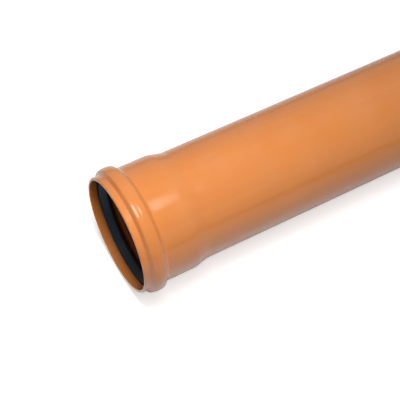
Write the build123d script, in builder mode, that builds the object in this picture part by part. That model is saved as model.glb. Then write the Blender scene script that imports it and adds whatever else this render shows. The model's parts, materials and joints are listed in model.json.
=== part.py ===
from build123d import *
import math
import os

# Sewer pipe of orange-brown PVC-U with a thermoformed socket, and the rubber seal in the socket's bead.
# Millimetres, +Z up. The pipe lies on a level floor on its bead's crown and its spigot's end, so that
# the spigot hangs a little lower than the socket. A station is a distance from the mouth along the axis.

# Pipe
pipe_diameter = 160.0        # outside diameter, the nominal size
wall = 4.7                   # wall of the pipe and of the straight socket
laying_length = 500.0        # length that the pipe adds to a laid run
spigot_chamfer = 15.0        # slope of the chamfer at the spigot's end, in degrees
spigot_edge_wall = 2.2       # wall left on the end face inside the chamfer

# Socket
socket_depth = 82.0          # from the mouth to where a spigot stops, at the start of the taper
socket_clearance = 0.25      # radial gap between the socket's bore and a spigot
taper_length = 21.0          # from the socket down to the pipe

# Mouth, the plain collar in front of the bead
mouth_clearance = 1.6        # radial gap between the mouth and a spigot
mouth_length = 12.1          # straight stretch inside, from the rim to the groove
mouth_wall = 4.0
rim_round = 1.8              # rounding of the rim's outer edge
rim_break = 1.0              # rounding of the rim's inner edge

# Seal groove, seen from outside as the bead
groove_depth = 6.8           # at the groove's corners, below the socket's bore
groove_floor = 11.9          # length of the groove's floor, between its two flanks
front_flank = 55.0           # slope of the flank on the mouth's side, in degrees
rear_flank = 47.0            # slope of the flank on the socket's side, in degrees
crown_slope = 13.0           # rise of the floor from each corner to its middle, in degrees
crown_straight = 0.8         # straight stretch left between the crown's rounding and a corner's
bead_wall = 4.4              # wall of the bead, stretched thinner than the pipe's

# Roundings of the outside, from the mouth to the pipe
collar_fillet = 1.6
bead_front_fillet = 2.2
bead_rear_fillet = 3.5
bead_foot_fillet = 5.0
taper_fillet = 28.0

# Roundings of the inside
groove_mouth_fillet = 5.8
groove_corner_fillet = 2.0
groove_foot_fillet = 7.0
taper_inner_fillet = 24.0

# Seal ring
seal_clearance = 0.2         # gap between the ring and the groove
seal_setback = 2.1           # from the groove's edge at the mouth to the ring's front face
heel_height = 3.6            # how far up the rear flank the ring's heel ends, above the socket's bore
seal_squeeze = 3.0           # how far the lip reaches inside a spigot's surface
lip_setback = 0.4            # how far the lip's tip stays in front of the rear flank
lip_land = 3.5               # straight inner face of the lip
lip_thickness = 2.0
slot_depth = 6.0             # slot behind the lip, into which the lip folds back
toe_fillet = 0.6
heel_fillet = 0.4
slot_fillet = 1.0
lip_fillet = 0.7
land_fillet = 2.5

pipe_radius = pipe_diameter / 2
pipe_bore = pipe_radius - wall
socket_bore = pipe_radius + socket_clearance
mouth_bore = pipe_radius + mouth_clearance
groove_corner = socket_bore + groove_depth
total_length = socket_depth + laying_length


def rise(angle):
    """Height gained by a slope along one millimetre."""
    return math.tan(math.radians(angle))


def beside(corners, offsets):
    """Corners of the outline beside another, with each stretch moved outwards by its own offset."""
    lines = []
    for start, end, offset in zip(corners, corners[1:], offsets):
        along = (Vector(*end) - Vector(*start)).normalized()
        across = Vector(-along.Y, along.X)
        lines.append((Vector(*start) + across * offset, along))
    moved = []
    for (point_a, along_a), (point_b, along_b) in zip(lines, lines[1:]):
        turn = along_a.X * along_b.Y - along_a.Y * along_b.X
        gap = point_b - point_a
        reach = (gap.X * along_b.Y - gap.Y * along_b.X) / turn
        corner = point_a + along_a * reach
        moved.append((corner.X, corner.Y))
    return moved


# Corners of the wall's inside, as station and radius. The outside follows from them and the walls.
half_floor = groove_floor / 2
floor_start = mouth_length + (groove_corner - mouth_bore) / rise(front_flank)
floor_middle = floor_start + half_floor
floor_end = floor_start + groove_floor
groove_end = floor_end + groove_depth / rise(rear_flank)
groove_crown = groove_corner + half_floor * rise(crown_slope)
taper_end = socket_depth + taper_length

# The crown is as round as the floor has room for, beside the roundings of its corners
corner_reach = groove_corner_fillet * rise((max(front_flank, rear_flank) - crown_slope) / 2)
crown_room = half_floor / math.cos(math.radians(crown_slope)) - corner_reach - crown_straight
groove_crown_radius = crown_room / rise(crown_slope)
crown_radius = groove_crown_radius + bead_wall

inside = [
    (0, mouth_bore),
    (mouth_length, mouth_bore),
    (floor_start, groove_corner),
    (floor_middle, groove_crown),
    (floor_end, groove_corner),
    (groove_end, socket_bore),
    (socket_depth, socket_bore),
    (taper_end, pipe_bore),
    (total_length, pipe_bore),
]
walls = [mouth_wall, bead_wall, bead_wall, bead_wall, bead_wall, wall, wall, wall]
outside = beside(inside, walls)
collar, bead_front, bead_apex, bead_rear, bead_foot, taper_top, taper_foot = outside

rim_radius = mouth_bore + mouth_wall
spigot_edge = pipe_bore + spigot_edge_wall
spigot_shoulder = total_length - (wall - spigot_edge_wall) / rise(spigot_chamfer)

# Each corner is station, radius and rounding
pipe_corners = [
    (0, rim_radius, rim_round),
    (*collar, collar_fillet),
    (*bead_front, bead_front_fillet),
    (*bead_apex, crown_radius),
    (*bead_rear, bead_rear_fillet),
    (*bead_foot, bead_foot_fillet),
    (*taper_top, taper_fillet),
    (*taper_foot, taper_fillet),
    (spigot_shoulder, pipe_radius, 0),
    (total_length, spigot_edge, 0),
    (total_length, pipe_bore, 0),
    (taper_end, pipe_bore, taper_inner_fillet),
    (socket_depth, socket_bore, taper_inner_fillet),
    (groove_end, socket_bore, groove_foot_fillet),
    (floor_end, groove_corner, groove_corner_fillet),
    (floor_middle, groove_crown, groove_crown_radius),
    (floor_start, groove_corner, groove_corner_fillet),
    (mouth_length, mouth_bore, groove_mouth_fillet),
    (0, mouth_bore, rim_break),
]

# The ring's back follows the groove with a small gap. Its front face stands across the groove, its
# inner face slopes in to the lip, and the slot behind leaves the lip free.
ring_front, ring_crown, ring_rear, ring_foot = beside(inside[1:7], [-seal_clearance] * 5)
toe_station = mouth_length + seal_setback
toe_outer = ring_front[1] - (ring_front[0] - toe_station) * rise(front_flank)
toe_inner = mouth_bore - seal_clearance
heel_radius = ring_foot[1] + heel_height
heel_station = ring_foot[0] - heel_height / rise(rear_flank)
lip_radius = pipe_radius - seal_squeeze
tip_station = floor_end - lip_setback
land_start = tip_station - lip_land
face_slope = (toe_inner - lip_radius) / (land_start - toe_station)
lip_back = lip_radius + lip_thickness
slot_root = tip_station - slot_depth

ring_corners = [
    (toe_station, toe_outer, toe_fillet),
    (*ring_front, groove_corner_fillet - seal_clearance),
    (*ring_crown, groove_crown_radius - seal_clearance),
    (*ring_rear, groove_corner_fillet - seal_clearance),
    (heel_station, heel_radius, heel_fillet),
    (slot_root, heel_radius, slot_fillet),
    (slot_root, lip_back + slot_depth * face_slope, slot_fillet),
    (tip_station, lip_back, lip_fillet),
    (tip_station, lip_radius, lip_fillet),
    (land_start, lip_radius, land_fillet),
    (toe_station, toe_inner, toe_fillet),
]

# The pipe at rest: how far its axis slopes down towards the spigot, and where the rim's centre is
crown_centre = bead_apex[1] - crown_radius / math.cos(math.radians(crown_slope))
span = spigot_shoulder - bead_apex[0]
step_down = pipe_radius - crown_centre
tilt = math.atan2(span, step_down) - math.acos(crown_radius / math.hypot(span, step_down))
mouth_height = crown_radius + crown_centre * math.cos(tilt) + bead_apex[0] * math.sin(tilt)
mouth_reach = (rim_radius - rim_round) * math.sin(tilt) + rim_round * (1 - math.cos(tilt))
spigot_reach = total_length * math.cos(tilt) + spigot_edge * math.sin(tilt)
mouth_centre = ((mouth_reach - spigot_reach) / 2, 0, mouth_height)
downhill = (math.cos(tilt), 0, -math.sin(tilt))
profile_plane = Plane(origin=mouth_centre, x_dir=downhill, z_dir=(0, -1, 0))
pipe_axis = Axis(origin=mouth_centre, direction=downhill)

with BuildPart() as pipe:
    with BuildSketch(profile_plane):
        with BuildLine():
            FilletPolyline(
                *[(station, radius) for station, radius, rounding in pipe_corners],
                radius=[rounding for station, radius, rounding in pipe_corners],
                close=True,
            )
        make_face()
    revolve(axis=pipe_axis)

with BuildPart() as seal_ring:
    with BuildSketch(profile_plane):
        with BuildLine():
            FilletPolyline(
                *[(station, radius) for station, radius, rounding in ring_corners],
                radius=[rounding for station, radius, rounding in ring_corners],
                close=True,
            )
        make_face()
    revolve(axis=pipe_axis)

pipe.part.label = "pipe"
seal_ring.part.label = "seal_ring"

os.makedirs("parts", exist_ok=True)
export_step(pipe.part, "parts/pipe.step")
export_step(seal_ring.part, "parts/seal_ring.step")

crown = crown_centre + crown_radius
print(f"Total length {total_length:.1f}, bead diameter {2 * crown:.2f}, tilt {math.degrees(tilt):.3f} degrees")
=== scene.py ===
import json
import math

import bmesh
import bpy
from mathutils import Matrix, Vector, noise


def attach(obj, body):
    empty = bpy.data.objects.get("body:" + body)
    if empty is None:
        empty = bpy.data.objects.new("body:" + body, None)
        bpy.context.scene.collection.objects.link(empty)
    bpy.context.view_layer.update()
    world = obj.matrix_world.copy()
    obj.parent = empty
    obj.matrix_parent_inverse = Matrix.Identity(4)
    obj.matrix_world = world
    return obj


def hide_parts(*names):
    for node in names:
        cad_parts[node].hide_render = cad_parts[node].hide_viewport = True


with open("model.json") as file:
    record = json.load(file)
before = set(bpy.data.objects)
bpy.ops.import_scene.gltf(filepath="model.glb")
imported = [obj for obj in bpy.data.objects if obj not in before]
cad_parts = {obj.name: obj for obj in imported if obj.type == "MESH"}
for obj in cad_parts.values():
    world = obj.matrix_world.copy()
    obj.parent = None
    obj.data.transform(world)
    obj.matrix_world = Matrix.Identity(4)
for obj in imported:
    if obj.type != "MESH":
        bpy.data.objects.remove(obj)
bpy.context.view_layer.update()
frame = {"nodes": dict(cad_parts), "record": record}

bl_info = {
    "name": "Sewer Pipe",
    "version": (1, 0, 0),
    "blender": (4, 5, 0),
    "location": "3D View > Sidebar > Sewer Pipe",
    "description": "Orange-brown plastic sewer pipe with a push-fit socket and its rubber seal",
    "category": "Object",
}

# Stations are distances from the socket's mouth along the pipe's axis. The pipe is built along its own
# X axis, with its mouth at the origin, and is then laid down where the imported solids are.
mounts = {mount["name"]: mount for mount in frame["record"]["mounts"]}
AXIS = Vector(mounts["spigot"]["axis"]).normalized()
AXIS_POINT = Vector(mounts["spigot"]["pos_m"])


def stations_of(node):
    """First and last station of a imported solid, measured from the middle of the spigot."""
    reach = [(vertex.co - AXIS_POINT).dot(AXIS) for vertex in frame["nodes"][node].data.vertices]
    return min(reach), max(reach)


first_station, last_station = stations_of("pipe")
MOUTH = AXIS_POINT + AXIS * first_station
SLOPE = math.atan2(-AXIS.z, AXIS.x)
LENGTH = last_station - first_station
SPIGOT_RADIUS = mounts["spigot"]["dims"]["r_mm"] / 1000
BORE_RADIUS = mounts["pipe_bore"]["dims"]["r_mm"] / 1000
LIP_RADIUS = mounts["seal_lip"]["dims"]["r_mm"] / 1000

SEGMENTS = 288                # round the pipe
ARC_STEP = math.radians(6)    # turn of an arc between two points of an outline
LONGEST_ARC_STEP = 0.0012     # metres between two points of an arc
STRAIGHT_STEP = 0.008         # metres between two points of a straight stretch
WAVES_ALONG = 9               # fineness of the drawn wall's waviness along the pipe
WAVES_ROUND = 0.9             # and round it
FLOOR_REACH = 6.0             # metres from the middle to the floor's edge
FLOOR_SHADE = 0.97            # how bright the floor's duller patches are beside the rest

# The pipe's materials after the first, which is the drawn skin
CUT_SLOT = 1
BORE_SLOT = 2
CUT_FACING = 0.1              # least X of the normal of a cut face at the spigot's end


# Kinds of setting


def length(name, default, description):
    """A length in metres."""
    return bpy.props.FloatProperty(
        name=name, description=description, default=default, min=0, precision=5, unit="LENGTH"
    )


def slope(name, degrees, description):
    """An angle, given in degrees and kept in radians."""
    return bpy.props.FloatProperty(
        name=name,
        description=description,
        default=math.radians(degrees),
        min=0,
        max=math.radians(89),
        subtype="ANGLE",
        unit="ROTATION",
    )


def share(name, default, description):
    """A number from 0 to 1."""
    return bpy.props.FloatProperty(
        name=name, description=description, default=default, min=0, max=1, subtype="FACTOR"
    )


def colour(name, default, description):
    """A linear colour."""
    return bpy.props.FloatVectorProperty(
        name=name, description=description, default=default, min=0, max=1, size=3, subtype="COLOR"
    )


def power(name, default, description):
    """The strength of a lamp or of the surroundings."""
    return bpy.props.FloatProperty(name=name, description=description, default=default, min=0)


# Settings


class PipeSizes(bpy.types.PropertyGroup):
    """Sizes of the plain pipe and its spigot end."""

    radius: length("Outer Radius", SPIGOT_RADIUS, "Outside radius of the pipe")
    bore: length("Bore", BORE_RADIUS, "Inside radius of the pipe")
    length: length("Length", LENGTH, "From the mouth to the spigot's end")
    chamfer: slope("Chamfer", 15, "Slope of the chamfer at the spigot's end")
    edge_wall: length("Edge Wall", 0.0022, "Wall left on the spigot's end face")


class SocketSizes(bpy.types.PropertyGroup):
    """Sizes of the socket, its mouth and the bead round its seal groove."""

    depth: length("Depth", 0.082, "From the mouth to where a spigot stops")
    clearance: length("Clearance", 0.00025, "Radial gap between the socket and a spigot")
    taper: length("Taper", 0.021, "From the socket down to the pipe")
    mouth_clearance: length("Mouth Clearance", 0.0016, "Radial gap between the mouth and a spigot")
    mouth_length: length("Mouth Length", 0.0121, "Straight stretch from the rim to the groove")
    mouth_wall: length("Mouth Wall", 0.004, "Wall at the mouth")
    groove_depth: length("Groove Depth", 0.0068, "At the groove's corners, below the socket's bore")
    groove_floor: length("Groove Floor", 0.0119, "Between the groove's two flanks")
    front_flank: slope("Front Flank", 55, "Slope of the groove's flank on the mouth's side")
    rear_flank: slope("Rear Flank", 47, "Slope of the groove's flank on the socket's side")
    crown_slope: slope("Crown Slope", 13, "Rise of the groove's floor to its middle")
    bead_wall: length("Bead Wall", 0.0044, "Wall of the bead")


class SocketRoundings(bpy.types.PropertyGroup):
    """Radii of the socket's rounded corners."""

    rim: length("Rim", 0.0018, "Outer edge of the rim")
    rim_break: length("Rim Break", 0.001, "Inner edge of the rim")
    collar: length("Collar", 0.0016, "Crease between the collar and the bead")
    bead_front: length("Bead Front", 0.0022, "Front shoulder of the bead")
    crown_straight: length("Crown Straight", 0.0008, "Straight stretch left beside the crown")
    bead_rear: length("Bead Rear", 0.0035, "Rear shoulder of the bead")
    bead_foot: length("Bead Foot", 0.005, "Crease between the bead and the socket")
    taper: length("Taper", 0.028, "Both bends of the taper, outside")
    groove_mouth: length("Groove Mouth", 0.0058, "Edge between the mouth and the groove")
    groove_corner: length("Groove Corner", 0.002, "Corners of the groove's floor")
    groove_foot: length("Groove Foot", 0.007, "Edge between the groove and the socket")
    taper_inner: length("Inner Taper", 0.024, "Both bends of the taper, inside")


class SealSizes(bpy.types.PropertyGroup):
    """Sizes of the rubber ring in the groove."""

    clearance: length("Clearance", 0.0002, "Gap between the ring and the groove")
    setback: length("Setback", 0.0021, "From the groove's edge at the mouth to the ring's front face")
    heel_height: length("Heel Height", 0.0036, "Where the heel ends, above the socket's bore")
    lip_radius: length("Lip Radius", LIP_RADIUS, "Inside radius of the lip")
    lip_setback: length("Lip Setback", 0.0004, "From the lip's tip to the groove's rear corner")
    lip_land: length("Lip Land", 0.0035, "Straight inner face of the lip")
    lip_thickness: length("Lip Thickness", 0.002, "Thickness of the lip's tip")
    slot_depth: length("Slot Depth", 0.006, "Slot behind the lip")
    toe: length("Toe", 0.0006, "Rounding of the front face's edges")
    heel: length("Heel", 0.0004, "Rounding of the heel")
    slot: length("Slot", 0.001, "Rounding of the slot's corners")
    lip: length("Lip", 0.0007, "Rounding of the lip's tip")
    land: length("Land", 0.0025, "Rounding where the front face meets the lip's land")


class PlasticFinish(bpy.types.PropertyGroup):
    """Look of the extruded plastic and of its cut faces."""

    colour: colour("Colour", (0.64, 0.205, 0.038), "Colour of the plastic")
    pale: colour("Pale Colour", (0.72, 0.27, 0.080), "Colour of its paler streaks")
    deep: colour("Deep Colour", (0.54, 0.150, 0.030), "Colour of its darker streaks")
    cut: colour("Cut Colour", (0.72, 0.33, 0.14), "Colour of a sawn or turned face")
    dust: colour("Dust Colour", (0.62, 0.56, 0.48), "Colour of the dust that lies on it")
    gloss_roughness: share("Roughness", 0.20, "Roughness of the drawn surface")
    skin: share("Skin", 0.7, "Weight of the smooth skin over it")
    skin_roughness: share("Skin Roughness", 0.08, "Roughness of that skin")
    # Darker than the plastic's own colour: painted shade on the wall inside the pipe, past the groove. The
    # higher roughness below is the bore's real duller finish.
    bore: colour("Bore Colour With Painted Shade", (0.52, 0.160, 0.030), "Colour of the duller wall inside the pipe")
    bore_roughness: share("Bore Roughness", 0.42, "Roughness of the wall inside the pipe")
    cut_roughness: share("Cut Roughness", 0.55, "Roughness of a sawn or turned face")
    waviness: length("Waviness", 0.00012, "Deepest hollow of the drawn surface")


class RubberFinish(bpy.types.PropertyGroup):
    """Look of the moulded rubber."""

    colour: colour("Colour", (0.004, 0.007, 0.011), "Colour of the rubber")
    bloom: colour("Bloom Colour", (0.012, 0.019, 0.027), "Colour of its faint grey bloom")
    dust: colour("Dust Colour", (0.3, 0.28, 0.26), "Colour of the dust that lies on it")
    sheen_tint: colour("Sheen Tint", (0.50, 0.75, 1.0), "Colour of what it mirrors")
    roughness: share("Roughness", 0.5, "Roughness of the rubber")


class LampSettings(bpy.types.PropertyGroup):
    """One soft rectangular lamp, which faces the pipe."""

    watts: power("Watts", 0, "Power of the lamp")
    width: length("Width", 1, "Level side of the lamp")
    depth: length("Depth", 1, "Other side of the lamp")
    place: bpy.props.FloatVectorProperty(
        name="Place",
        description="Middle of the lamp",
        default=(0, 0, 1),
        subtype="TRANSLATION",
        unit="LENGTH",
    )
    mirrored: bpy.props.BoolProperty(
        name="Mirrored", description="Whether the gloss mirrors the lamp", default=False
    )


# Watts, width, depth and place of each lamp, and whether the gloss mirrors it: a broad one over the mouth,
# and lower down a strip for the streak on the bead and a small one for the spot on the socket
LAMPS = {
    "broad_lamp": (11.2, 0.22, 1.1, (-0.30, -0.24, 1.10), False),
    "strip_lamp": (0.7, 0.06, 0.30, (-0.38, -0.12, 0.90), True),
    "small_lamp": (0.76, 0.020, 0.25, (-0.053, -0.16, 0.90), True),
}


class StudioSettings(bpy.types.PropertyGroup):
    """Floor, lamps and camera."""

    floor_colour: colour("Floor Colour", (0.80, 0.80, 0.80), "Colour of the floor, as the camera sees it")
    floor_glow: share("Floor Glow", 0.55, "Light added to the floor, as the camera sees it")
    floor_bounce: share("Floor Bounce", 0.36, "Colour of the floor for the light that it throws on the pipe")
    floor_sheen: share("Floor Sheen", 0.85, "Colour of the floor where the pipe mirrors it")
    surroundings: colour("Surroundings", (1.0, 0.98, 0.95), "Colour of the light all round")
    surroundings_power: power("Surroundings Power", 0.28, "Strength of the light all round")
    mouth_side: share("Mouth Side", 0.10, "Share of that light that comes from the mouth's side")
    surroundings_sheen: power("Surroundings Sheen", 0.50, "Strength of that light, where it is mirrored")
    backdrop: power("Backdrop", 1.0, "Strength of that light, as the camera sees it")
    broad_lamp: bpy.props.PointerProperty(type=LampSettings)
    strip_lamp: bpy.props.PointerProperty(type=LampSettings)
    small_lamp: bpy.props.PointerProperty(type=LampSettings)
    camera_place: bpy.props.FloatVectorProperty(
        name="Camera Place",
        description="Place of the camera",
        default=(-0.60254, -0.78373, 1.37060),
        precision=5,
        subtype="TRANSLATION",
        unit="LENGTH",
    )
    camera_turn: bpy.props.FloatVectorProperty(
        name="Camera Turn",
        description="Rotation of the camera about X, Y and Z",
        default=(math.radians(35.0184), 0, math.radians(-29.5050)),
        precision=5,
        subtype="EULER",
        unit="ROTATION",
    )
    camera_lens: bpy.props.FloatProperty(
        name="Camera Lens",
        description="Focal length in millimetres, on a sensor 36 mm wide",
        default=100.644,
        min=1,
        unit="CAMERA",
    )


class SewerPipeSettings(bpy.types.PropertyGroup):
    """Everything that a user can change."""

    pipe: bpy.props.PointerProperty(type=PipeSizes)
    socket: bpy.props.PointerProperty(type=SocketSizes)
    roundings: bpy.props.PointerProperty(type=SocketRoundings)
    seal: bpy.props.PointerProperty(type=SealSizes)
    plastic: bpy.props.PointerProperty(type=PlasticFinish)
    rubber: bpy.props.PointerProperty(type=RubberFinish)
    studio: bpy.props.PointerProperty(type=StudioSettings)


# Outlines, as corners of station, radius and rounding


def beside(corners, offsets):
    """Corners of the outline beside another, with each stretch moved outwards by its own offset."""
    lines = []
    for start, end, offset in zip(corners, corners[1:], offsets):
        along = (Vector(end) - Vector(start)).normalized()
        across = Vector((-along.y, along.x))
        lines.append((Vector(start) + across * offset, along))
    moved = []
    for (point_a, along_a), (point_b, along_b) in zip(lines, lines[1:]):
        turn = along_a.x * along_b.y - along_a.y * along_b.x
        gap = point_b - point_a
        reach = (gap.x * along_b.y - gap.y * along_b.x) / turn
        moved.append(tuple(point_a + along_a * reach))
    return moved


def crown_rounding(socket, roundings):
    """Radius of the groove's crown, as large as its floor has room for beside the corners."""
    steeper = max(socket.front_flank, socket.rear_flank)
    corner_reach = roundings.groove_corner * math.tan((steeper - socket.crown_slope) / 2)
    half_floor = socket.groove_floor / 2 / math.cos(socket.crown_slope)
    return (half_floor - corner_reach - roundings.crown_straight) / math.tan(socket.crown_slope)


def chamfer_start(pipe):
    """Station where the spigot's chamfer starts."""
    return pipe.length - (pipe.radius - pipe.bore - pipe.edge_wall) / math.tan(pipe.chamfer)


def groove_start(pipe, socket):
    """Station where the groove's floor starts."""
    groove_corner = pipe.radius + socket.clearance + socket.groove_depth
    mouth_bore = pipe.radius + socket.mouth_clearance
    return socket.mouth_length + (groove_corner - mouth_bore) / math.tan(socket.front_flank)


def wall_inside(pipe, socket):
    """Corners of the wall's inside, from the mouth to the spigot's end."""
    bore = pipe.radius + socket.clearance
    mouth_bore = pipe.radius + socket.mouth_clearance
    groove_corner = bore + socket.groove_depth
    floor_start = groove_start(pipe, socket)
    floor_end = floor_start + socket.groove_floor
    crown = groove_corner + socket.groove_floor / 2 * math.tan(socket.crown_slope)
    return [
        (0, mouth_bore),
        (socket.mouth_length, mouth_bore),
        (floor_start, groove_corner),
        (floor_start + socket.groove_floor / 2, crown),
        (floor_end, groove_corner),
        (floor_end + socket.groove_depth / math.tan(socket.rear_flank), bore),
        (socket.depth, bore),
        (socket.depth + socket.taper, pipe.bore),
        (pipe.length, pipe.bore),
    ]


def pipe_corners(pipe, socket, roundings):
    """Corners of the pipe's section, out along the outside and back along the inside."""
    inside = wall_inside(pipe, socket)
    groove_crown = crown_rounding(socket, roundings)
    wall = pipe.radius - pipe.bore
    outside = beside(inside, [socket.mouth_wall] + [socket.bead_wall] * 4 + [wall] * 3)
    outer_radii = [
        roundings.collar,
        roundings.bead_front,
        groove_crown + socket.bead_wall,
        roundings.bead_rear,
        roundings.bead_foot,
        roundings.taper,
        roundings.taper,
    ]
    inner_radii = [
        roundings.rim_break,
        roundings.groove_mouth,
        roundings.groove_corner,
        groove_crown,
        roundings.groove_corner,
        roundings.groove_foot,
        roundings.taper_inner,
        roundings.taper_inner,
        0,
    ]
    return [
        (0, pipe.radius + socket.mouth_clearance + socket.mouth_wall, roundings.rim),
        *[(*corner, radius) for corner, radius in zip(outside, outer_radii)],
        (chamfer_start(pipe), pipe.radius, 0),
        (pipe.length, pipe.bore + pipe.edge_wall, 0),
        *[(*corner, radius) for corner, radius in reversed(list(zip(inside, inner_radii)))],
    ]


def seal_corners(pipe, socket, roundings, seal):
    """Corners of the ring's section, along its back and then round the heel, slot, lip and front face."""
    inside = wall_inside(pipe, socket)
    groove = inside[1:7]
    front, crown, rear, foot = beside(groove, [-seal.clearance] * (len(groove) - 1))
    floor_end = groove_start(pipe, socket) + socket.groove_floor
    toe_station = socket.mouth_length + seal.setback
    toe_outer = front[1] - (front[0] - toe_station) * math.tan(socket.front_flank)
    toe_inner = pipe.radius + socket.mouth_clearance - seal.clearance
    heel_radius = foot[1] + seal.heel_height
    heel_station = foot[0] - seal.heel_height / math.tan(socket.rear_flank)
    tip = floor_end - seal.lip_setback
    land_start = tip - seal.lip_land
    face_slope = (toe_inner - seal.lip_radius) / (land_start - toe_station)
    lip_back = seal.lip_radius + seal.lip_thickness
    slot_root = tip - seal.slot_depth
    return [
        (toe_station, toe_outer, seal.toe),
        (*front, roundings.groove_corner - seal.clearance),
        (*crown, crown_rounding(socket, roundings) - seal.clearance),
        (*rear, roundings.groove_corner - seal.clearance),
        (heel_station, heel_radius, seal.heel),
        (slot_root, heel_radius, seal.slot),
        (slot_root, lip_back + seal.slot_depth * face_slope, seal.slot),
        (tip, lip_back, seal.lip),
        (tip, seal.lip_radius, seal.lip),
        (land_start, seal.lip_radius, seal.land),
        (toe_station, toe_inner, seal.toe),
    ]


def rounded(corner, before, after, radius):
    """Points of the arc that rounds a corner, or the corner itself where the radius is 0."""
    if radius == 0:
        return [corner]
    to_before = (before - corner).normalized()
    to_after = (after - corner).normalized()
    half_turn = (math.pi - to_before.angle(to_after)) / 2
    centre = corner + (to_before + to_after).normalized() * (radius / math.cos(half_turn))
    start = corner + to_before * (radius * math.tan(half_turn)) - centre
    end = corner + to_after * (radius * math.tan(half_turn)) - centre
    turn = start.angle_signed(end)
    steps = math.ceil(abs(turn) * max(1 / ARC_STEP, radius / LONGEST_ARC_STEP))
    return [centre + Matrix.Rotation(-turn * step / steps, 2) @ start for step in range(steps + 1)]


def outline(corners):
    """The section's points, and which of them are sharp corners."""
    places = [Vector(corner[:2]) for corner in corners]
    points = []
    sharp = set()
    for index, corner in enumerate(corners):
        before = places[index - 1]
        after = places[(index + 1) % len(places)]
        arc = rounded(places[index], before, after, corner[2])
        if points:
            points.extend(stretch(points[-1], arc[0]))
        if corner[2] == 0:
            sharp.add(len(points))
        points.extend(arc)
    points.extend(stretch(points[-1], points[0]))
    return points, sharp


def stretch(start, end):
    """Points between the ends of a straight stretch, so that no face is long."""
    steps = math.ceil((end - start).length / STRAIGHT_STEP)
    return [start.lerp(end, step / steps) for step in range(1, steps)]


# Meshes


def hollow(station, angle, depth):
    """How far the drawn wall lies inside its true round, from 0 to the depth, as a slow waviness."""
    place = Vector((station * WAVES_ALONG, math.cos(angle) * WAVES_ROUND, math.sin(angle) * WAVES_ROUND))
    return depth * (0.5 + 0.5 * noise.noise(place))


def turned_mesh(name, corners, waviness):
    """A closed mesh, with its section's outline turned about the X axis."""
    points, sharp = outline(corners)
    mesh = bmesh.new()
    rings = []
    for step in range(SEGMENTS):
        angle = math.tau * step / SEGMENTS
        ring = []
        for point in points:
            radius = point.y - hollow(point.x, angle, waviness)
            place = (point.x, radius * math.cos(angle), radius * math.sin(angle))
            ring.append(mesh.verts.new(place))
        rings.append(ring)
    for step, ring in enumerate(rings):
        next_ring = rings[(step + 1) % SEGMENTS]
        for index in range(len(points)):
            after = (index + 1) % len(points)
            face = mesh.faces.new((ring[index], ring[after], next_ring[after], next_ring[index]))
            face.smooth = True
            if index in sharp:
                mesh.edges.get((ring[index], next_ring[index])).smooth = False
    bmesh.ops.recalc_face_normals(mesh, faces=mesh.faces)
    data = bpy.data.meshes.new(name)
    mesh.to_mesh(data)
    mesh.free()
    return data


def lay_down(data):
    """Moves a mesh from the pipe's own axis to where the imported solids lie."""
    data.transform(Matrix.Translation(MOUTH) @ Matrix.Rotation(SLOPE, 4, "Y"))


def place_piece(name, data, node):
    """The finished piece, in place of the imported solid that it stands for."""
    older = bpy.data.objects.get(name)
    if older:
        bpy.data.objects.remove(older)
    piece = bpy.data.objects.new(name, data)
    bpy.context.scene.collection.objects.link(piece)
    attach(piece, "root")
    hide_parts(node)
    return piece


# Shader groups, each used by several materials


def new_group(name, inputs, outputs):
    """An empty shader group with its sockets, and its two end nodes."""
    group = bpy.data.node_groups.new(name, "ShaderNodeTree")
    for socket_name, kind, default in inputs:
        socket = group.interface.new_socket(socket_name, in_out="INPUT", socket_type=kind)
        if default is not None:
            socket.default_value = default
    for socket_name, kind in outputs:
        group.interface.new_socket(socket_name, in_out="OUTPUT", socket_type=kind)
    return group, group.nodes.new("NodeGroupInput"), group.nodes.new("NodeGroupOutput")


def add_noise(tree, vector, scale, detail=2.0):
    """A noise texture's value. The scale is a socket or a number."""
    node = tree.nodes.new("ShaderNodeTexNoise")
    node.inputs["Detail"].default_value = detail
    tree.links.new(vector, node.inputs["Vector"])
    feed(tree, scale, node.inputs["Scale"])
    return node.outputs["Fac"]


def feed(tree, value, socket):
    """Links a socket, or sets a number or vector."""
    if isinstance(value, bpy.types.NodeSocket):
        tree.links.new(value, socket)
    else:
        socket.default_value = value


def calculate(tree, operation, *values, clamp=False):
    """A maths node's result."""
    node = tree.nodes.new("ShaderNodeMath")
    node.operation = operation
    node.use_clamp = clamp
    for value, socket in zip(values, node.inputs):
        feed(tree, value, socket)
    return node.outputs["Value"]


def weighted(tree, first, second):
    """The sum of two values, each given with its weight."""
    return calculate(tree, "ADD", calculate(tree, "MULTIPLY", *first), calculate(tree, "MULTIPLY", *second))


def swap(tree, switch, first, second):
    """The first value where a switch is 0, and the second where it is 1."""
    gap = calculate(tree, "SUBTRACT", second, first)
    return calculate(tree, "MULTIPLY_ADD", switch, gap, first)


def stretched(tree, vector, factors):
    """A vector multiplied by three factors."""
    node = tree.nodes.new("ShaderNodeVectorMath")
    node.operation = "MULTIPLY"
    tree.links.new(vector, node.inputs[0])
    feed(tree, factors, node.inputs[1])
    return node.outputs["Vector"]


def spread(tree, value, low, high, new_low=0.0, new_high=1.0):
    """A value spread from one range over another, and held inside it."""
    node = tree.nodes.new("ShaderNodeMapRange")
    for number, socket in zip((value, low, high, new_low, new_high), node.inputs):
        feed(tree, number, socket)
    return node.outputs["Result"]


def mix(tree, share_of_second, first, second):
    """A mix of two colours."""
    node = tree.nodes.new("ShaderNodeMix")
    node.data_type = "RGBA"
    feed(tree, share_of_second, node.inputs["Factor"])
    feed(tree, first, node.inputs["A"])
    feed(tree, second, node.inputs["B"])
    return node.outputs["Result"]


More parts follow.
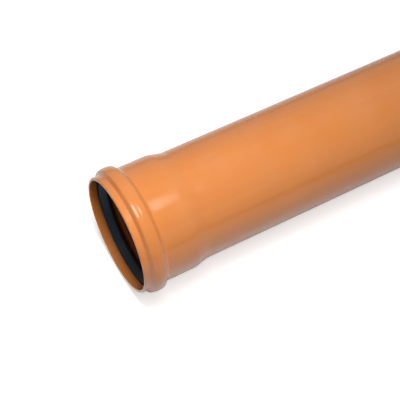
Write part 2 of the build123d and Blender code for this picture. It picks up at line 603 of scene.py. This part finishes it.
def drawn_lines_group():
    """Fine lines along the pipe, from the tools that shaped it."""
    group, given, result = new_group(
        "Drawn Lines",
        [("Vector", "NodeSocketVector", None), ("Fineness", "NodeSocketFloat", 150.0)],
        [("Streaks", "NodeSocketFloat"), ("Height", "NodeSocketFloat")],
    )
    along = stretched(group, given.outputs["Vector"], (0.03, 1.0, 1.0))
    broad = add_noise(group, along, calculate(group, "MULTIPLY", given.outputs["Fineness"], 0.22))
    fine = add_noise(group, along, given.outputs["Fineness"], detail=3.0)
    streaks = weighted(group, (broad, 0.65), (fine, 0.35))
    group.links.new(spread(group, streaks, 0.32, 0.68), result.inputs["Streaks"])
    group.links.new(fine, result.inputs["Height"])
    return group


def turned_rings_group():
    """Fine rings round the axis, from a saw, a cutter or a mould."""
    group, given, result = new_group(
        "Turned Rings",
        [("Vector", "NodeSocketVector", None), ("Fineness", "NodeSocketFloat", 900.0)],
        [("Rings", "NodeSocketFloat"), ("Height", "NodeSocketFloat")],
    )
    parts = group.nodes.new("ShaderNodeSeparateXYZ")
    group.links.new(given.outputs["Vector"], parts.inputs["Vector"])
    squares = [calculate(group, "MULTIPLY", parts.outputs[axis], parts.outputs[axis]) for axis in "YZ"]
    radius = calculate(group, "SQRT", calculate(group, "ADD", *squares))
    place = group.nodes.new("ShaderNodeCombineXYZ")
    group.links.new(parts.outputs["X"], place.inputs["X"])
    group.links.new(radius, place.inputs["Y"])
    rings = add_noise(group, place.outputs["Vector"], given.outputs["Fineness"], detail=3.0)
    group.links.new(spread(group, rings, 0.3, 0.7), result.inputs["Rings"])
    group.links.new(rings, result.inputs["Height"])
    return group


def grain_group():
    """Slight unevenness of a moulded or drawn skin."""
    group, given, result = new_group(
        "Skin Grain",
        [("Vector", "NodeSocketVector", None), ("Fineness", "NodeSocketFloat", 400.0)],
        [("Height", "NodeSocketFloat"), ("Patches", "NodeSocketFloat")],
    )
    vector = given.outputs["Vector"]
    height = add_noise(group, vector, given.outputs["Fineness"], detail=4.0)
    patches = add_noise(group, vector, calculate(group, "MULTIPLY", given.outputs["Fineness"], 0.04))
    group.links.new(height, result.inputs["Height"])
    group.links.new(spread(group, patches, 0.35, 0.65), result.inputs["Patches"])
    return group


def dust_group():
    """Dust that has settled on what faces up."""
    group, given, result = new_group(
        "Settled Dust",
        [("Vector", "NodeSocketVector", None), ("Amount", "NodeSocketFloat", 0.2)],
        [("Dust", "NodeSocketFloat")],
    )
    normal = group.nodes.new("ShaderNodeNewGeometry").outputs["Normal"]
    parts = group.nodes.new("ShaderNodeSeparateXYZ")
    group.links.new(normal, parts.inputs["Vector"])
    facing_up = spread(group, parts.outputs["Z"], 0.2, 1.0)
    specks = spread(group, add_noise(group, given.outputs["Vector"], 900.0, detail=2.0), 0.56, 0.74)
    cloud = spread(group, add_noise(group, given.outputs["Vector"], 22.0, detail=5.0), 0.35, 0.8)
    film = weighted(group, (cloud, 0.6), (specks, 0.5))
    lying = calculate(group, "MULTIPLY", film, facing_up)
    dust = calculate(group, "MULTIPLY", lying, given.outputs["Amount"], clamp=True)
    group.links.new(dust, result.inputs["Dust"])
    return group


GROUPS = {
    "Drawn Lines": drawn_lines_group,
    "Turned Rings": turned_rings_group,
    "Skin Grain": grain_group,
    "Settled Dust": dust_group,
}


def use_group(tree, name, vector, **values):
    """Places a shader group in a material, building it first where it isn't there yet."""
    group = bpy.data.node_groups.get(name) or GROUPS[name]()
    node = tree.nodes.new("ShaderNodeGroup")
    node.node_tree = group
    tree.links.new(vector, node.inputs["Vector"])
    for socket_name, value in values.items():
        node.inputs[socket_name].default_value = value
    return node.outputs


# Materials


def new_material(name):
    """An empty material, its shader and a vector in the pipe's own frame."""
    older = bpy.data.materials.get(name)
    if older:
        bpy.data.materials.remove(older)
    material = bpy.data.materials.new(name)
    material.use_nodes = True
    tree = material.node_tree
    shader = tree.nodes["Principled BSDF"]
    coordinates = tree.nodes.new("ShaderNodeTexCoord")
    own_frame = tree.nodes.new("ShaderNodeMapping")
    own_frame.vector_type = "TEXTURE"
    own_frame.inputs["Location"].default_value = MOUTH
    own_frame.inputs["Rotation"].default_value = (0, SLOPE, 0)
    tree.links.new(coordinates.outputs["Object"], own_frame.inputs["Vector"])
    return material, tree, shader, own_frame.outputs["Vector"]


def add_bump(tree, shader, *heights):
    """Bumps one after another, each as a height and its depth in metres, and links the last."""
    normal = None
    for height, depth in heights:
        bump = tree.nodes.new("ShaderNodeBump")
        bump.inputs["Distance"].default_value = depth
        bump.inputs["Strength"].default_value = 1.0
        tree.links.new(height, bump.inputs["Height"])
        if normal:
            tree.links.new(normal, bump.inputs["Normal"])
        normal = bump.outputs["Normal"]
    tree.links.new(normal, shader.inputs["Normal"])


def opaque(rgb):
    """A colour with full alpha."""
    return (*rgb, 1.0)


def drawn_plastic(finish, name, base, roughness, skin):
    """The drawn wall: faint streaks along it, a slight grain and a little dust, under a smooth skin."""
    material, tree, shader, vector = new_material(name)
    lines = use_group(tree, "Drawn Lines", vector, Fineness=150.0)
    grain = use_group(tree, "Skin Grain", vector, Fineness=380.0)
    dust = use_group(tree, "Settled Dust", vector, Amount=0.10)
    paleness = spread(tree, lines["Streaks"], 0, 1, 0, 0.35)
    paler = mix(tree, paleness, opaque(base), opaque(finish.pale))
    deeper = mix(tree, spread(tree, grain["Patches"], 0, 1, 0, 0.16), paler, opaque(finish.deep))
    dusty = mix(tree, dust["Dust"], deeper, opaque(finish.dust))
    tree.links.new(dusty, shader.inputs["Base Color"])
    worn = calculate(tree, "ADD", spread(tree, grain["Patches"], 0, 1, -0.02, 0.03), roughness)
    streaky = calculate(tree, "ADD", worn, spread(tree, lines["Streaks"], 0, 1, 0, 0.03))
    tree.links.new(calculate(tree, "ADD", streaky, dust["Dust"], clamp=True), shader.inputs["Roughness"])
    shader.inputs["IOR"].default_value = 1.53
    shader.inputs["Specular IOR Level"].default_value = 0.3
    shader.inputs["Coat Weight"].default_value = skin
    shader.inputs["Coat Roughness"].default_value = finish.skin_roughness
    add_bump(tree, shader, (lines["Height"], 0.000012), (grain["Height"], 0.000006))
    return material


def cut_plastic(finish):
    """A sawn or turned face: paler and dull, with the cutter's rings."""
    material, tree, shader, vector = new_material("Cut Plastic")
    rings = use_group(tree, "Turned Rings", vector, Fineness=1400.0)
    grain = use_group(tree, "Skin Grain", vector, Fineness=900.0)
    dust = use_group(tree, "Settled Dust", vector, Amount=0.2)
    ringed = mix(tree, spread(tree, rings["Rings"], 0, 1, 0, 0.5), opaque(finish.cut), opaque(finish.colour))
    dusty = mix(tree, dust["Dust"], ringed, opaque(finish.dust))
    tree.links.new(dusty, shader.inputs["Base Color"])
    rough = calculate(tree, "ADD", spread(tree, rings["Rings"], 0, 1, -0.08, 0.08), finish.cut_roughness)
    tree.links.new(rough, shader.inputs["Roughness"])
    shader.inputs["IOR"].default_value = 1.53
    add_bump(tree, shader, (rings["Height"], 0.00012), (grain["Height"], 0.00004))
    return material


def moulded_rubber(finish):
    """The ring's satin black, with a faint bloom, the mould's rings and a fine grain."""
    material, tree, shader, vector = new_material("Moulded Rubber")
    rings = use_group(tree, "Turned Rings", vector, Fineness=700.0)
    grain = use_group(tree, "Skin Grain", vector, Fineness=1500.0)
    dust = use_group(tree, "Settled Dust", vector, Amount=0.12)
    bloom = spread(tree, grain["Patches"], 0, 1, 0, 0.35)
    bloomed = mix(tree, bloom, opaque(finish.colour), opaque(finish.bloom))
    ringed = mix(tree, spread(tree, rings["Rings"], 0, 1, 0, 0.2), bloomed, opaque(finish.bloom))
    dusty = mix(tree, dust["Dust"], ringed, opaque(finish.dust))
    tree.links.new(dusty, shader.inputs["Base Color"])
    rough = calculate(tree, "ADD", spread(tree, grain["Patches"], 0, 1, -0.05, 0.07), finish.roughness)
    tree.links.new(rough, shader.inputs["Roughness"])
    shader.inputs["IOR"].default_value = 1.52
    shader.inputs["Specular Tint"].default_value = opaque(finish.sheen_tint)
    add_bump(tree, shader, (rings["Height"], 0.00006), (grain["Height"], 0.00002))
    return material


def studio_floor(studio):
    """The plain floor with a faint unevenness, bright to the camera and dimmer to the pipe."""
    material, tree, shader, vector = new_material("Studio Floor")
    patches = spread(tree, add_noise(tree, vector, 3.0, detail=3.0), 0.3, 0.7)
    path = tree.nodes.new("ShaderNodeLightPath").outputs
    seen = path["Is Camera Ray"]
    shade = [FLOOR_SHADE * part for part in studio.floor_colour]
    bright = mix(tree, patches, opaque(studio.floor_colour), opaque(shade))
    bounce = opaque([studio.floor_bounce] * 3)
    sheen = opaque([studio.floor_sheen] * 3)
    thrown = mix(tree, path["Is Glossy Ray"], bounce, sheen)
    tree.links.new(mix(tree, seen, thrown, bright), shader.inputs["Base Color"])
    shader.inputs["Roughness"].default_value = 0.8
    shader.inputs["Emission Color"].default_value = (1, 1, 1, 1)
    tree.links.new(calculate(tree, "MULTIPLY", seen, studio.floor_glow), shader.inputs["Emission Strength"])
    return material


# Operators


class MESH_OT_make_sewer_pipe(bpy.types.Operator):
    """Make the pipe with its socket, bead and spigot, in one wall"""

    bl_idname = "mesh.make_sewer_pipe"
    bl_label = "Make Pipe"
    bl_options = {"REGISTER", "UNDO"}

    def execute(self, context):
        settings = context.scene.sewer_pipe
        corners = pipe_corners(settings.pipe, settings.socket, settings.roundings)
        plastic = settings.plastic
        data = turned_mesh("pipe_wall", corners, plastic.waviness)
        outer = (plastic.colour, plastic.gloss_roughness, plastic.skin)
        # The bore's darker colour is painted shade inside the pipe; its roughness and missing skin are its
        # real duller finish.
        inner = (plastic.bore, plastic.bore_roughness, 0)
        data.materials.append(drawn_plastic(plastic, "Drawn Plastic", *outer))
        data.materials.append(cut_plastic(plastic))
        data.materials.append(drawn_plastic(plastic, "Bore Plastic With Painted Shade", *inner))
        chamfer = chamfer_start(settings.pipe)
        floor_end = groove_start(settings.pipe, settings.socket) + settings.socket.groove_floor
        for face in data.polygons:
            faces_inwards = face.center.yz.dot(face.normal.yz) < 0
            if face.center.x > chamfer and face.normal.x > CUT_FACING:
                face.material_index = CUT_SLOT
            # Inward faces past the groove take the bore's material, with its painted shade.
            elif face.center.x > floor_end and faces_inwards:
                face.material_index = BORE_SLOT
        lay_down(data)
        place_piece("pipe_wall", data, "pipe")
        return {"FINISHED"}


class MESH_OT_make_seal_ring(bpy.types.Operator):
    """Make the rubber ring with its lip, slot and heel"""

    bl_idname = "mesh.make_seal_ring"
    bl_label = "Make Seal Ring"
    bl_options = {"REGISTER", "UNDO"}

    def execute(self, context):
        settings = context.scene.sewer_pipe
        corners = seal_corners(settings.pipe, settings.socket, settings.roundings, settings.seal)
        data = turned_mesh("rubber_ring", corners, settings.plastic.waviness)
        data.materials.append(moulded_rubber(settings.rubber))
        lay_down(data)
        place_piece("rubber_ring", data, "seal_ring")
        return {"FINISHED"}


class SCENE_OT_make_pipe_studio(bpy.types.Operator):
    """Make the floor, the lamps, the surroundings and the camera"""

    bl_idname = "scene.make_pipe_studio"
    bl_label = "Make Studio"
    bl_options = {"REGISTER", "UNDO"}

    def execute(self, context):
        studio = context.scene.sewer_pipe.studio
        make_floor(studio)
        make_surroundings(studio)
        for name in LAMPS:
            make_lamp(name, getattr(studio, name))
        make_camera(studio)
        context.scene.view_settings.view_transform = "Standard"
        return {"FINISHED"}


def put_in_scene(name, data):
    """A new object in the scene, in place of an older one of that name."""
    older = bpy.data.objects.get(name)
    if older:
        bpy.data.objects.remove(older)
    made = bpy.data.objects.new(name, data)
    bpy.context.scene.collection.objects.link(made)
    return made


def make_floor(studio):
    """A level floor under the pipe."""
    data = bpy.data.meshes.new("floor")
    corners = [(x * FLOOR_REACH, y * FLOOR_REACH, 0) for x, y in ((-1, -1), (1, -1), (1, 1), (-1, 1))]
    data.from_pydata(corners, [], [range(len(corners))])
    data.materials.append(studio_floor(studio))
    put_in_scene("floor", data)


def make_surroundings(studio):
    """A pale light all round, which shines dimmer from the mouth's side but is mirrored evenly."""
    world = bpy.data.worlds.get("Studio") or bpy.data.worlds.new("Studio")
    world.use_nodes = True
    tree = world.node_tree
    background = tree.nodes["Background"]
    background.inputs["Color"].default_value = opaque(studio.surroundings)
    parts = tree.nodes.new("ShaderNodeSeparateXYZ")
    tree.links.new(tree.nodes.new("ShaderNodeTexCoord").outputs["Generated"], parts.inputs["Vector"])
    dimmest = studio.surroundings_power * studio.mouth_side
    shining = spread(tree, parts.outputs["X"], -0.7, 0.2, dimmest, studio.surroundings_power)
    path = tree.nodes.new("ShaderNodeLightPath").outputs
    strength = swap(tree, path["Is Glossy Ray"], shining, studio.surroundings_sheen)
    strength = swap(tree, path["Is Camera Ray"], strength, studio.backdrop)
    tree.links.new(strength, background.inputs["Strength"])
    bpy.context.scene.world = world


def make_lamp(name, settings):
    """A soft rectangular lamp that faces the pipe."""
    lamp = bpy.data.lights.new(name, "AREA")
    lamp.shape = "RECTANGLE"
    lamp.size = settings.width
    lamp.size_y = settings.depth
    lamp.energy = settings.watts
    made = put_in_scene(name, lamp)
    made.location = settings.place
    made.rotation_euler = Vector((0, 0, 1)).rotation_difference(made.location - MOUTH).to_euler()
    made.visible_camera = False
    made.visible_glossy = settings.mirrored


def make_camera(studio):
    """The camera, at the photograph's viewing angle."""
    camera = bpy.data.cameras.new("camera")
    camera.sensor_width = 36
    camera.lens = studio.camera_lens
    made = put_in_scene("camera", camera)
    made.location = studio.camera_place
    made.rotation_euler = studio.camera_turn
    bpy.context.scene.camera = made


class VIEW3D_PT_sewer_pipe(bpy.types.Panel):
    """Buttons and settings of the sewer pipe"""

    bl_label = "Sewer Pipe"
    bl_space_type = "VIEW_3D"
    bl_region_type = "UI"
    bl_category = "Sewer Pipe"

    def draw(self, context):
        settings = context.scene.sewer_pipe
        for operator in (MESH_OT_make_sewer_pipe, MESH_OT_make_seal_ring, SCENE_OT_make_pipe_studio):
            self.layout.operator(operator.bl_idname)
        for name in ("pipe", "socket", "roundings", "seal", "plastic", "rubber", "studio"):
            group = getattr(settings, name)
            box = self.layout.box()
            box.label(text=group.bl_rna.name)
            for key in group.__annotations__:
                box.prop(group, key)


CLASSES = (
    PipeSizes,
    SocketSizes,
    SocketRoundings,
    SealSizes,
    PlasticFinish,
    RubberFinish,
    LampSettings,
    StudioSettings,
    SewerPipeSettings,
    MESH_OT_make_sewer_pipe,
    MESH_OT_make_seal_ring,
    SCENE_OT_make_pipe_studio,
    VIEW3D_PT_sewer_pipe,
)


def register():
    for each in CLASSES:
        bpy.utils.register_class(each)
    bpy.types.Scene.sewer_pipe = bpy.props.PointerProperty(type=SewerPipeSettings)
    for name, values in LAMPS.items():
        lamp = getattr(bpy.context.scene.sewer_pipe.studio, name)
        lamp.watts, lamp.width, lamp.depth, lamp.place, lamp.mirrored = values


def unregister():
    del bpy.types.Scene.sewer_pipe
    for each in reversed(CLASSES):
        bpy.utils.unregister_class(each)


def main():
    """Builds the pipe, the ring and the studio."""
    register()
    bpy.ops.mesh.make_sewer_pipe()
    bpy.ops.mesh.make_seal_ring()
    bpy.ops.scene.make_pipe_studio()
    bpy.context.view_layer.update()


if __name__ == "__main__":
    main()
